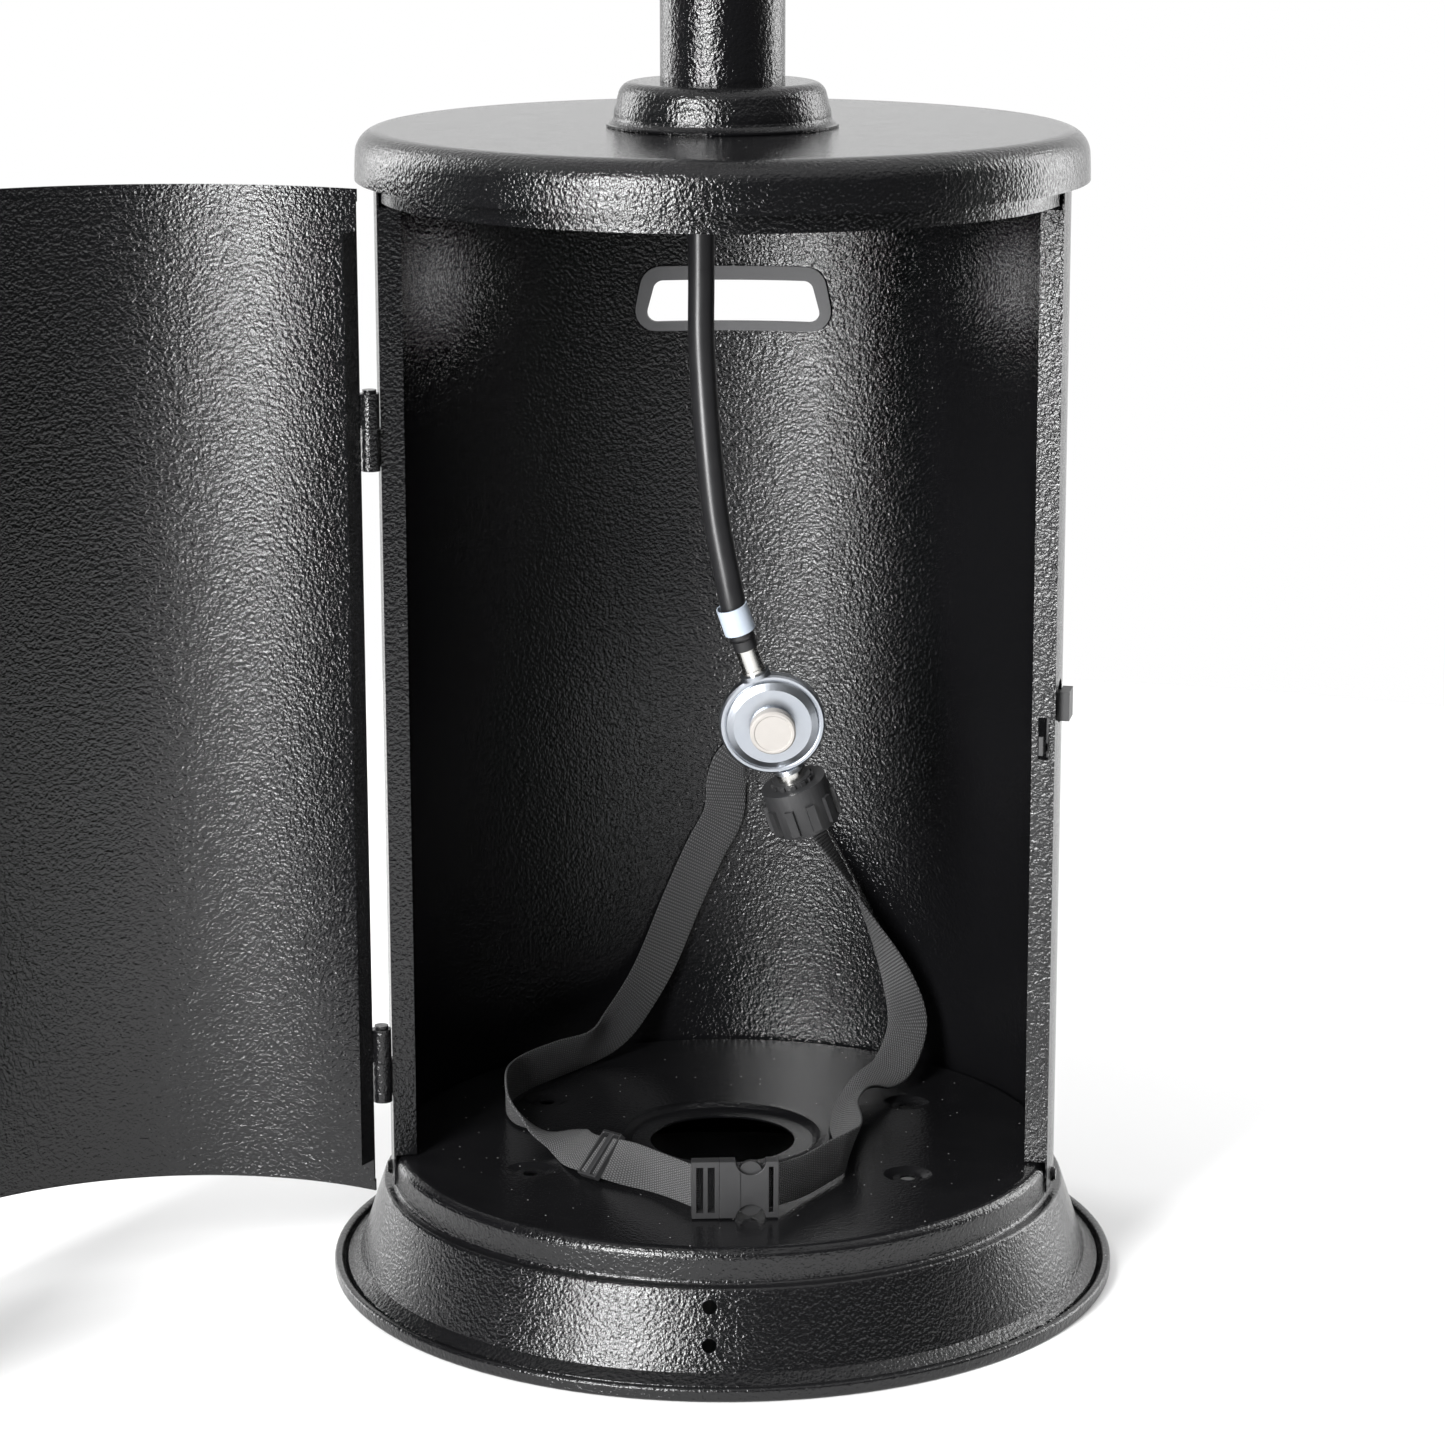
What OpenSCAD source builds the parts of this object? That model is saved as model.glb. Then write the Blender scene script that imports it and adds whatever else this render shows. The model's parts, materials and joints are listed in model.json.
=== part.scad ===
// Free-standing gas patio heater with a cylindrical tank housing.
// Origin: floor level on the axis of the post. +Z up, the door opening faces -Y.
// Bearings round the axis are measured from the front (-Y) towards +X.

/* [Base] */
// Outer radius of the rolled bead that stands on the floor
base_r = 230; // [215:1:260]
// Outer radius of the upright band that the housing sits on
band_r = 194; // [193.6:0.1:194.2]
// Height of the deck's upper face
deck_z = 74.6; // [70:0.1:90]
// Sheet thickness of the base pressing
base_t = 1.2; // [0.8:0.1:2]
// Radius of the hole in the middle of the deck
deck_hole_r = 42.7; // [30:0.1:50]
// Half the spacing of the four deck holes, side to side and front to back
deck_holes = [109, 65]; // [60:1:110]
// Height of the middle of the two wheel kit holes in the front of the flare
wheel_hole_z = 35; // [28:1:38]
// Distance between the two wheel kit holes, along the slope
wheel_hole_pitch = 21; // [16:1:24]

/* [Housing] */
// Outer radius of the housing wall
barrel_r = 195.5; // [195.3:0.1:196]
// Sheet thickness of the housing, door and cover
sheet_t = 1.1; // [1:0.05:1.2]
// Lower edge of the housing wall
barrel_z = 58; // [57.5:0.5:60]
// Height of the cover's flat top
cover_z = 668.6; // [600:0.1:760]
// Outer radius of the cover's skirt
cover_r = 206; // [203:0.5:215]
// Height of the skirt below the flat top
skirt_h = 28; // [22:0.5:32]
// Half the angle of the front opening
opening_deg = 76; // [75:0.5:77]
// Depth of the flanges that turn inwards at the opening
flange_d = 13; // [8:0.5:16]

/* [Door] */
// How far the door stands open
door_open = 133.3; // [0:0.1:180]
// Depth of the joggled lips along the top and bottom edges
lip_h = 7; // [5:0.5:10]
// Radius of the hinge knuckles
knuckle_r = 5.5; // [5:0.1:5.6]
// Radius of the hinge pins
pin_r = 2.5; // [2:0.1:3]

/* [Post and burner head] */
// Outer radius of the post
post_r = 35; // [34.5:0.1:35.2]
// Wall thickness of the post
post_t = 1.5; // [1:0.1:2]
// Height of the top of the post
post_top = 1600; // [1400:10:1700]
// Outer radius of the control housing
drum_r = 78; // [77:0.5:79]
// Height of the control housing
drum_h = 103; // [102:0.5:104]
// Radius of the emitter screen at its foot and at its top
screen_r = [96, 110]; // [95:1:111]
// Height of the emitter screen
screen_h = 273; // [220:1:320]
// Outer radius of the reflector
reflector_r = 406; // [350:1:440]
// Rise of the reflector from its rim to its crown
reflector_rise = 116; // [112:1:120]

/* [Hose and regulator] */
// Radius of the gas hose
hose_r = 7.5; // [7.2:0.1:7.6]
// Radius of the regulator's lid
lid_r = 30.5; // [30:0.1:31]
// Outer radius of the coupling nut
nut_r = 21.5; // [20:0.5:23]
// How far the regulator leans to the right as it hangs
lean_deg = 18; // [16:1:20]
// How far its face tips down
tip_deg = 10; // [9:0.5:11]

/* [Tank belt] */
// Width of the webbing
belt_w = 25; // [24:0.5:26]
// Thickness of the webbing
belt_t = 1.6; // [1.2:0.1:2]

/* [Hidden] */
$fn = 96;

// Finishes
BLACK_COAT = [0.06, 0.06, 0.065];
BLACK_PLASTIC = [0.13, 0.13, 0.135];
RUBBER = [0.24, 0.24, 0.25];
STEEL = [0.62, 0.62, 0.63];
ZINC = [0.7, 0.72, 0.75];
BRASS = [0.72, 0.58, 0.3];
WEBBING = [0.1, 0.1, 0.11];

// Base
hem_w = 5;
hem_h = 8;
flare_top = [200.5, 53];
flare_foot = [214.5, 11];
dimple_r = 14;
dimple_depth = 2.2;
dimple_hole_r = 4.5;
wheel_hole_r = 4;
flare_deg = atan2(flare_foot.x - flare_top.x, flare_top.y - flare_foot.y);
wheel_y = flare_foot.x - (wheel_hole_z - flare_foot.y) * tan(flare_deg);

// Housing
barrel_in = barrel_r - sheet_t;
barrel_top = cover_z - 5;
flange_z = [76, 627];
ring_r = 193.2;
ring_z = cover_z - 38.6;
ring_top = cover_z - sheet_t - 0.2;
skirt_corner_r = 14;
hand_z = [530, 562];
hand_half = [58.5, 51];
screw_z = 63;
screw_bearings = [-81.6, 81.6, 135, 180, 225];
ring_screw_z = cover_z - 15;
ring_screw_bearings = [-100, 100, 140, 180, 220];
screw_r = 2.4;

// Lift that rests the bell's hem on the cover
bell_lift = 0.9;

// Door and hinges
hinge_pos = [-195.3, -50.2];
door_half = 74.9;
door_r = 196;
door_z = [56.9, cover_z - 30.4];
door_flange_z = [76, 615];
hinge_split = [134, 504];
knuckle_h = [23.5, 22];
pin_clear = 0.05;
hinge_gap = 0.3;

// Latch
latch_bearing = 80.5;
latch_slot_z = [335, 360];
latch_slot_w = 20;
knob_size = [17, 6.5, 17];
knob_z = 337.5;
hook_z = 320;
window_z = [317, 333.5];

// Regulator frame: the hose ends at hose_end and the regulator hangs this far along its own axis
hose_end = [12, -12, 378];
crimp_h = 6;
ferrule_h = 16;
lid_gap = 33;
hang = crimp_h + ferrule_h + lid_gap;

// Burner head
head_z = post_top + 2;
drum_top = head_z + drum_h;
valve_z = head_z + 48;
screen_z = drum_top;
cap_z = screen_z + screen_h;
stud_pcd_r = 65;
reflector_z = cap_z + 78;
crown_z = reflector_z + reflector_rise;
knob_y = drum_r + 6;
igniter_bearing = 42;
burner_z = screen_z + 6;

// The hose from the gas valve down through the post to the regulator, top to bottom
hose_route = [
    [0, 0, 1618], [0, 0, 1590], [-2, 0, 1540], [-6, 1, 1450], [-10, 2, 1350], [-12, 3, 1250], [-12, 3, 1150],
    [-11, 2, 1050], [-11, 1, 950], [-12, 0, 850], [-12, 0, 750], [-12, 0, 670], [-12, 0, 620], [-12, 0, 580],
    [-12, -1, 550], [-10, -3, 515], [-7, -7, 480], [-3, -10, 446], [3, -13, 415], [7, -14, 396],
    [12, -12, 378]
];

// The tank belt's middle line from the right-hand buckle half round to the left-hand one: place, then
// the direction of the webbing's width
belt_route = [
    [[30, -139.5, 92], [0, 0, 1]],
    [[49, -112, 89], [0, 0, 1]],
    [[65, -84, 89], [0, 0, 1]],
    [[73, -70, 89], [0.1, 0, 1]],
    [[77, -52, 88], [0.35, 0, 0.94]],
    [[76, -30, 87], [0.5, 0, 0.86]],
    [[72, 4, 86], [0.65, 0, 0.75]],
    [[75, 40, 85], [0.65, -0.3, 0.5]],
    [[81, 60, 84.5], [0.6, -0.5, 0.25]],
    [[90, 78, 84.5], [0.7, -0.6, -0.2]],
    [[100, 95, 86.5], [0.8, -0.6, -0.35]],
    [[107, 114, 95], [0.88, -0.42, -0.3]],
    [[110, 127, 107], [0.93, -0.35, -0.1]],
    [[106, 137, 124], [0.8, -0.6, 0]],
    [[97, 147, 144], [0.6, -0.8, 0]],
    [[83, 157, 169], [0.25, -0.95, 0]],
    [[69, 165, 193], [-0.05, -1, 0]],
    [[54, 170, 215], [-0.25, -0.95, -0.1]],
    [[40, 176.5, 236], [-0.6, -0.6, -0.5]],
    [[28, 184, 252], [-0.4, -0.3, -0.85]],
    [[12, 190, 262], [0, 0, -1]],
    [[1, 190, 256], [0.6, 0, -0.8]],
    [[-4, 190, 243], [1, 0, -0.1]],
    [[-6, 190, 222], [1, 0, -0.15]],
    [[-18, 189, 198], [1, 0, -0.35]],
    [[-33, 187, 164], [1, 0.1, -0.4]],
    [[-47, 181, 130], [1, 0.2, -0.4]],
    [[-59, 170, 109], [0.85, 0.4, -0.4]],
    [[-72, 148, 95], [0.65, 0.65, -0.3]],
    [[-87, 124, 88.5], [0.3, 0.7, -0.6]],
    [[-107, 96, 89], [0.1, 0.3, -0.95]],
    [[-125, 67, 89], [0, 0.1, -1]],
    [[-131, 38, 89], [0, 0.1, -1]],
    [[-124, 5, 87.5], [0, 0.75, -0.65]],
    [[-107, -16, 82], [0, 0.97, -0.25]],
    [[-90, -33, 82], [0.2, 0.95, 0.2]],
    [[-81, -56, 84], [0.35, 0.75, 0.5]],
    [[-67, -76, 87], [0.45, 0.55, 0.7]],
    [[-36, -107, 89.5], [0, 0.1, 1]],
    [[-9, -142, 92], [0, 0, 1]]
];

// ---- Helpers ----

// Turns its children from the front (-Y) to a bearing
module at(bearing) rotate([0, 0, bearing]) children();

// A point list for an arc
function arc(c, r, a0, a1, n = 8) = [
    for (i = [0:n])
        let (a = a0 + (a1 - a0) * i / n)
        c + r * [cos(a), sin(a)]
];

function unit(v) = v / norm(v);
function normal2(a, b) = let (d = unit(b - a)) [-d.y, d.x];

// The point list moved sideways by t, mitred at its corners
function beside(p, t) = [
    for (i = [0:len(p) - 1])
        let (
            before = normal2(p[max(i - 1, 0)], p[max(i, 1)]),
            after = normal2(p[min(i, len(p) - 2)], p[min(i + 1, len(p) - 1)]),
            m = unit(before + after)
        )
        p[i] + m * t / (m * after)
];

// A closed outline of a sheet t thick, from the points of its outer face
function skin(p, t) = concat(p, [for (q = [len(p) - 1:-1:0]) beside(p, -t)[q]]);

// Corner points rounded to radius r; the outline runs anticlockwise
function rounded(p, r, n = 6) = [
    for (i = [0:len(p) - 1])
        let (
            a = p[(i + len(p) - 1) % len(p)], b = p[i], c = p[(i + 1) % len(p)],
            u = unit(a - b), v = unit(c - b), half = acos(u * v) / 2,
            m = unit(u + v), centre = b + m * r / sin(half), reach = 90 - half,
            mid = atan2(-m.y, -m.x)
        )
        each arc(centre, r, mid - reach, mid + reach, n)
];

// A full ring turned from an outline
module turned(outline) rotate_extrude($fn = 180) polygon(outline);

// A tube or disc between two radii
module tube(r_out, r_in, z0, z1) translate([0, 0, z0]) difference() {
    cylinder(r = r_out, h = z1 - z0, $fn = 180);
    translate([0, 0, -1]) cylinder(r = r_in, h = z1 - z0 + 2, $fn = 180);
}

// A curved wall between two bearings
module wall(r_out, t, z0, z1, from, to)
    rotate([0, 0, from - 90]) rotate_extrude(angle = to - from, $fn = 180)
        translate([r_out - t, z0]) square([t, z1 - z0]);

// A bar or hole that points outwards at a bearing, with its middle at height z
module radial(bearing, z, r0, r1, r, fn = 48)
    at(bearing) translate([0, -r0, z]) rotate([90, 0, 0]) cylinder(r = r, h = r1 - r0, $fn = fn);

// Smooth interpolation through a route's points
function blend(a, b, c, d, t) = 0.5 * ((2 * b) + (c - a) * t + (2 * a - 5 * b + 4 * c - d) * t * t
    + (3 * b - a - 3 * c + d) * t * t * t);
function smooth(p, n) = [
    for (i = [0:len(p) - 2], k = [0:n - 1])
        blend(p[max(i - 1, 0)], p[i], p[i + 1], p[min(i + 2, len(p) - 1)], k / n),
    p[len(p) - 1]
];
function tangent(p, i) = unit(p[min(i + 1, len(p) - 1)] - p[max(i - 1, 0)]);

// One solid through rings that all have the same number of points
module loft(rings) {
    n = len(rings[0]);
    m = len(rings);
    polyhedron(
        points = [for (ring = rings) each ring],
        faces = concat(
            [[for (k = [0:n - 1]) k]],
            [for (i = [0:m - 2], k = [0:n - 1]) let (a = i * n + k, b = i * n + (k + 1) % n) each [
                [a, a + n, b + n], [a, b + n, b]
            ]],
            [[for (k = [n - 1:-1:0]) (m - 1) * n + k]]
        ),
        convexity = 10
    );
}

// A round hose along a mostly upright line
function hose_ring(p, i, r, sides) =
    let (t = tangent(p, i), u = unit(cross([0, 1, 0], t)), v = cross(t, u))
    [for (k = [0:sides - 1]) p[i] + r * (cos(360 * k / sides) * u + sin(360 * k / sides) * v)];

// A flat band; each point carries the direction of its width
function band_ring(p, w, i, width, t) =
    let (f = tangent(p, i), s = unit(w[i] - (w[i] * f) * f), n = cross(f, s))
    [p[i] - s * width / 2 - n * t / 2, p[i] + s * width / 2 - n * t / 2,
     p[i] + s * width / 2 + n * t / 2, p[i] - s * width / 2 + n * t / 2];

module pan_head(r, h) {
    cylinder(r = r, h = h * 0.6, $fn = 32);
    cylinder(r = r * 0.8, h = h, $fn = 32);
}

// ---- Base ----

function base_outline() = skin(concat(
    [[base_r - 4.6, 2], [base_r - 6.4, 3.4], [base_r - 8, 6.4], flare_foot, flare_top],
    arc([198.5, 52.5], 2, 30, 90, 4),
    arc([band_r + 2.5, 57], 2.5, 270, 180, 5),
    arc([band_r - 6, deck_z - 6], 6, 0, 90, 6),
    [
        [66, deck_z], [61, deck_z + 0.6], [58, deck_z + 1.4],
        [55.5, deck_z - 1], [53.5, deck_z - 2.2], [deck_hole_r, deck_z - 2.2]
    ]
), -base_t);

module base_shell() color(BLACK_COAT) difference() {
    union() {
        difference() {
            turned(base_outline());
            for (x = [-1, 1], y = [-1, 1]) translate([x * deck_holes.x, y * deck_holes.y, deck_z - 5])
                cylinder(r = dimple_r, h = 10);
        }
        // dished seats of the four deck holes
        for (x = [-1, 1], y = [-1, 1]) translate([x * deck_holes.x, y * deck_holes.y, deck_z])
            turned(skin(
                [[dimple_r + 0.5, 0], [dimple_r, 0], [8.5, -dimple_depth], [dimple_hole_r, -dimple_depth]],
                -base_t
            ));
        // rolled bead that stands on the floor
        turned(rounded([[base_r - hem_w, 0], [base_r, 0], [base_r, hem_h], [base_r - hem_w, hem_h]], 2));
    }
    // wheel kit holes, square to the sloping flare
    for (side = [-1, 1]) translate([0, -wheel_y, wheel_hole_z]) rotate([-flare_deg, 0, 0])
        translate([0, 0, side * wheel_hole_pitch / 2]) rotate([90, 0, 0])
            cylinder(r = wheel_hole_r, h = 20, center = true, $fn = 48);
    for (b = screw_bearings) radial(b, screw_z, band_r - 5, band_r + 5, screw_r + 0.05);
}

// ---- Housing ----

hand_outline = rounded([
    [-hand_half[0], hand_z[0]], [hand_half[0], hand_z[0]],
    [hand_half[1], hand_z[1]], [-hand_half[1], hand_z[1]]
], 9);
hand_outer = rounded([[-62.5, 527], [62.5, 527], [54.5, 566.5], [-54.5, 566.5]], 13);
hand_inner = rounded([[-54.4, 532.5], [54.4, 532.5], [47.5, 558], [-47.5, 558]], 6);

// An opening in the rear wall with the given outline
module rear_cut(outline) translate([0, 250, 0]) rotate([90, 0, 0]) linear_extrude(120) polygon(outline);

module latch_slot(grow = 0) {
    r = latch_slot_w / 2 + grow;
    at(latch_bearing) for (z = [latch_slot_z[0] + latch_slot_w / 2, latch_slot_z[1] - latch_slot_w / 2])
        translate([0, -180, z]) rotate([90, 0, 0]) cylinder(r = r, h = 30, $fn = 48);
    at(latch_bearing) translate([-r, -210, latch_slot_z[0] + latch_slot_w / 2])
        cube([2 * r, 30, latch_slot_z[1] - latch_slot_z[0] - latch_slot_w]);
}

module barrel() color(BLACK_COAT) difference() {
    union() {
        wall(barrel_r, sheet_t, barrel_z, barrel_top, opening_deg, 360 - opening_deg);
        // flanges turned inwards along the opening
        at(opening_deg) translate([0, -barrel_r + 0.3, flange_z[0]])
            cube([sheet_t, flange_d, flange_z[1] - flange_z[0]]);
        at(-opening_deg) translate([-sheet_t, -barrel_r + 0.3, flange_z[0]])
            cube([sheet_t, flange_d, flange_z[1] - flange_z[0]]);
    }
    rear_cut(hand_outline);
    latch_slot();
    // window in the right-hand flange for the latch hook
    at(opening_deg) translate([-2, -barrel_in + 2.6, window_z[0] - 1])
        cube([6, 6, window_z[1] - window_z[0] + 8]);
    for (b = screw_bearings) radial(b, screw_z, barrel_r - 5, barrel_r + 5, screw_r + 0.05);
    for (b = ring_screw_bearings) radial(b, ring_screw_z, barrel_r - 5, barrel_r + 5, screw_r + 0.05);
}

module barrel_screws() color(BLACK_COAT) for (b = screw_bearings) {
    radial(b, screw_z, band_r - 6, barrel_r + 0.5, screw_r, 32);
    at(b) translate([0, -barrel_r, screw_z]) rotate([90, 0, 0]) pan_head(4.2, 2.4);
}

module hand_hole_trim() color(RUBBER) difference() {
    intersection() {
        rear_cut(hand_outer);
        tube(barrel_r + 2, barrel_in - 2, 500, 600);
    }
    rear_cut(hand_inner);
    difference() {
        tube(barrel_r, barrel_in, 500, 600);
        rear_cut(hand_outline);
    }
}

module top_ring() color(BLACK_COAT) difference() {
    turned([
        [ring_r, ring_z], [ring_r, ring_top], [ring_r - 16, ring_top],
        [ring_r - 16, ring_top - sheet_t], [ring_r - sheet_t, ring_top - sheet_t], [ring_r - sheet_t, ring_z]
    ]);
    for (b = ring_screw_bearings) radial(b, ring_screw_z, ring_r - 5, ring_r + 5, screw_r + 0.05);
}

module ring_screws() color(BLACK_COAT) for (b = ring_screw_bearings) {
    radial(b, ring_screw_z, ring_r - 6, barrel_r + 0.5, screw_r, 32);
    at(b) translate([0, -barrel_r, ring_screw_z]) rotate([90, 0, 0]) pan_head(4.2, 2.4);
}

module top_cover() color(BLACK_COAT) difference() {
    turned(concat(
        [[cover_r, cover_z - skirt_h], [cover_r - 0.2, cover_z - skirt_corner_r - 6]],
        arc([cover_r - 0.5 - skirt_corner_r, cover_z - skirt_corner_r], skirt_corner_r, 0, 90, 12),
        [[post_r - post_t, cover_z], [post_r - post_t, cover_z - sheet_t]],
        arc([cover_r - 0.5 - skirt_corner_r, cover_z - skirt_corner_r], skirt_corner_r - sheet_t, 90, 0, 12),
        [[cover_r - 0.2 - sheet_t, cover_z - skirt_corner_r - 6], [cover_r - 0.1 - sheet_t, cover_z - skirt_h + 5],
         [cover_r - 2 * sheet_t, cover_z - skirt_h + 4.6], [cover_r - 2 * sheet_t, cover_z - skirt_h]]
    ));
    for (a = [45:90:315]) at(a) translate([0, -46, cover_z - 5]) cylinder(r = 3.1, h = 10, $fn = 32);
}

// ---- Post ----

module post_foot() color(BLACK_COAT) difference() {
    tube(55, post_r - post_t, cover_z, cover_z + 3);
    for (a = [45:90:315]) at(a) translate([0, -46, cover_z - 1]) cylinder(r = 3.1, h = 5, $fn = 32);
}

module foot_bolts() color(STEEL) for (a = [45:90:315]) at(a) translate([0, -46, 0]) {
    translate([0, 0, cover_z + 3]) cylinder(r = 5.8, h = 4, $fn = 6);
    translate([0, 0, cover_z - 9]) cylinder(r = 3, h = 12.5, $fn = 32);
}

module foot_nuts() color(STEEL)
for (a = [45:90:315]) at(a) translate([0, -46, cover_z - sheet_t - 5]) difference() {
    cylinder(r = 5.8, h = 5, $fn = 6);
    translate([0, 0, -1]) cylinder(r = 3, h = 7, $fn = 32);
}

module post_bell() color(BLACK_COAT) translate([0, 0, bell_lift]) turned(skin(concat(
    [[post_r + 0.05, cover_z + 24]],
    arc([50, cover_z + 15.5], 8.5, 85, 20, 6),
    [[60.4, cover_z + 9.6]],
    arc([65.8, cover_z + 5.6], 5, 170, 265, 5)
), 1.2));

module post() color(BLACK_COAT) tube(post_r, post_r - post_t, cover_z + 3, post_top);

// ---- Door ----

// Swings the closed door's pieces to the angle at which it stands
module swung() translate([hinge_pos.x, hinge_pos.y, 0]) rotate([0, 0, -door_open])
    translate([-hinge_pos.x, -hinge_pos.y, 0]) children();

module door() color(BLACK_COAT) swung() difference() {
    union() {
        wall(door_r, sheet_t, door_z[0] + lip_h - 1, door_z[1] - lip_h + 1, -door_half, door_half);
        for (z = [door_z[0], door_z[1] - lip_h])
            wall(door_r + sheet_t - 0.1, sheet_t, z, z + lip_h, -door_half, door_half);
        at(door_half) translate([-sheet_t, -door_r + 0.3, door_flange_z[0]])
            cube([sheet_t, flange_d, door_flange_z[1] - door_flange_z[0]]);
        at(-door_half) translate([0, -door_r + 0.3, door_flange_z[0]])
            cube([sheet_t, flange_d, door_flange_z[1] - door_flange_z[0]]);
    }
    // window that the latch hook passes through
    at(door_half) translate([-4, -barrel_in + 2.6, window_z[0]]) cube([6, 6, window_z[1] - window_z[0]]);
}

// The knuckle's leaf runs along the sheet for this far
leaf_w = 12;

module door_hinge_halves() color(BLACK_COAT) swung() for (z = hinge_split) {
    difference() {
        translate([hinge_pos.x, hinge_pos.y, z + hinge_gap]) union() {
            cylinder(r = knuckle_r, h = knuckle_h[1] - 2, $fn = 48);
            cylinder(r = knuckle_r - 1.5, h = knuckle_h[1], $fn = 48);
        }
        translate([hinge_pos.x, hinge_pos.y, z - 1]) cylinder(r = pin_r + pin_clear, h = 19, $fn = 48);
    }
    // leaf on the outside of the door's edge
    intersection() {
        wall(door_r + 1.6, 1.55, z + 1, z + knuckle_h[1] - 2, -door_half - 0.4, -door_half + leaf_w / 3.4);
        translate([hinge_pos.x + 4, hinge_pos.y - 30, 0]) cube([60, 30, 700]);
    }
    // web from the leaf to the knuckle
    difference() {
        translate([hinge_pos.x + 3.2, hinge_pos.y - 3.6, z + 1]) cube([4, 2.6, knuckle_h[1] - 3]);
        cylinder(r = door_r + 0.02, h = cover_z, $fn = 180);
    }
}

module barrel_hinge_halves() color(BLACK_COAT) for (z = hinge_split) {
    difference() {
        translate([hinge_pos.x, hinge_pos.y, z - knuckle_h[0]])
            cylinder(r = knuckle_r, h = knuckle_h[0], $fn = 48);
        translate([hinge_pos.x, hinge_pos.y, z - knuckle_h[0] - 1])
            cylinder(r = pin_r, h = knuckle_h[0] + 2, $fn = 48);
    }
    // leaf on the outside of the housing's edge
    wall(barrel_r + 1.6, 1.6, z - knuckle_h[0] + 1, z - 1, -opening_deg - leaf_w / 3.4, -opening_deg - 0.9);
    // web from the leaf to the knuckle
    translate([hinge_pos.x - 0.8, hinge_pos.y + 4.2, z - knuckle_h[0] + 1]) cube([4.6, 4, knuckle_h[0] - 2]);
}

module hinge_pins() color(STEEL) for (z = hinge_split)
    translate([hinge_pos.x, hinge_pos.y, z - knuckle_h[0]])
        cylinder(r = pin_r, h = knuckle_h[0] + 17, $fn = 48);

// ---- Latch ----

module latch_slider() color(BLACK_PLASTIC) {
    at(latch_bearing) {
        // knob outside the wall
        translate([-knob_size.x / 2, -barrel_r - knob_size.y, knob_z])
            cube([knob_size.x, knob_size.y - 0.8, knob_size.z]);
        // neck through the slot
        translate([-5, -barrel_r - 1.2, knob_z - 0.9]) cube([10, 6, knob_size.z - 0.6]);
        // plate inside the wall
        translate([-11, -barrel_in + 2.4, knob_z - 21]) cube([22, 2.4, 38]);
    }
    // hook that reaches forwards through both flanges
    at(opening_deg) translate([-7.8, -barrel_in + 4.2, hook_z]) cube([18.4, 2.4, 5]);
    at(opening_deg) translate([-7.8, -barrel_in + 4.2, hook_z]) cube([2.6, 2.4, 11]);
}

module latch_guide() color(BLACK_COAT) at(latch_bearing) difference() {
    intersection() {
        translate([-13.2, -barrel_in - 1, knob_z + 7]) cube([27.7, 9, 9]);
        cylinder(r = barrel_in, h = cover_z, $fn = 180);
    }
    translate([-11.4, -barrel_in - 1, knob_z + 6]) cube([22.8, 6.4, 11]);
}

// ---- Tank belt ----

belt_points = smooth([for (s = belt_route) s[0]], 2);
belt_widths = smooth([for (s = belt_route) s[1]], 2);

module belt() color(WEBBING)
    loft([for (i = [0:len(belt_points) - 1]) band_ring(belt_points, belt_widths, i, belt_w, belt_t)]);

// Staple on the rear wall that the belt passes through
module belt_bracket() color(BLACK_COAT) difference() {
    intersection() {
        translate([7, 184, 244.5]) cube([10, 12, 35]);
        cylinder(r = barrel_in, h = cover_z, $fn = 180);
    }
    translate([6, 185.6, 247]) cube([12, 12, 30]);
}

// Frame of a tri-glide: an outer frame with a bar across the middle
module glide(w, l, t) difference() {
    translate([-w / 2, -t / 2, -l / 2]) cube([w, t, l]);
    for (x = [-1, 1]) translate([x * (w / 4 + 0.4) - w / 8 - 0.6, -t, -belt_w / 2 - 0.8])
        cube([w / 4 + 1.2, 2 * t, belt_w + 1.6]);
}

module belt_slider() color(BLACK_PLASTIC) translate([-67, -76, 87.8]) rotate([-45, -5, -49]) glide(17, 30, 4);

// Frame of the buckle: its long way lies along X, its width stands upright
module buckle_frame() translate([12, -141, 92]) rotate([0, 0, 5]) children();

module buckle_male() color(BLACK_PLASTIC) buckle_frame() {
    difference() {
        translate([-24.5, -4, -16.5]) cube([15.3, 8, 33]);
        translate([-22, -5, -13.3]) cube([4, 10, 26.6]);
        translate([-15.6, -5, -13.3]) cube([4, 10, 26.6]);
    }
    // tongue and the two sprung arms
    translate([-9.4, -1.6, -2.5]) cube([26, 3.2, 5]);
    for (z = [-1, 1]) {
        translate([-9.4, -1.8, z * 10 - 2]) cube([17, 3.6, 4]);
        translate([8.5, 1.8, z * 9.6]) rotate([90, 0, 0]) cylinder(r = 6.3, h = 3.6, $fn = 48);
    }
}

module buckle_female() color(BLACK_PLASTIC) buckle_frame() difference() {
    translate([-9, -4.5, -16.5]) cube([33, 9, 33]);
    translate([-10, -2.4, -13.8]) cube([27.5, 4.8, 27.6]);
    // side windows for the arms
    for (z = [-1, 1]) translate([8.5, 5, z * 17.2]) rotate([90, 0, 0]) cylinder(r = 8.5, h = 10, $fn = 64);
    // slot that leaves the bar for the webbing
    translate([18.6, -5, -13.3]) cube([2.6, 10, 26.6]);
}

// ---- Hose and regulator ----

module hose() color(BLACK_PLASTIC) {
    line = smooth(hose_route, 3);
    loft([for (i = [0:len(line) - 1]) hose_ring(line, i, hose_r, 12)]);
}

module hose_nut() color(BRASS) translate([0, 0, 1618]) difference() {
    cylinder(r = 12.5, h = 14, $fn = 6);
    translate([0, 0, 8]) cylinder(r = 7, h = 7, $fn = 32);
}

// Places its children in the hanging regulator's frame: origin at the middle of the lid's rim, its
// own +Z up towards the hose and its face towards -Y
module regulator_frame()
translate(hose_end) rotate([tip_deg, -lean_deg, 0]) translate([0, 0, -hang]) children();

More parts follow.
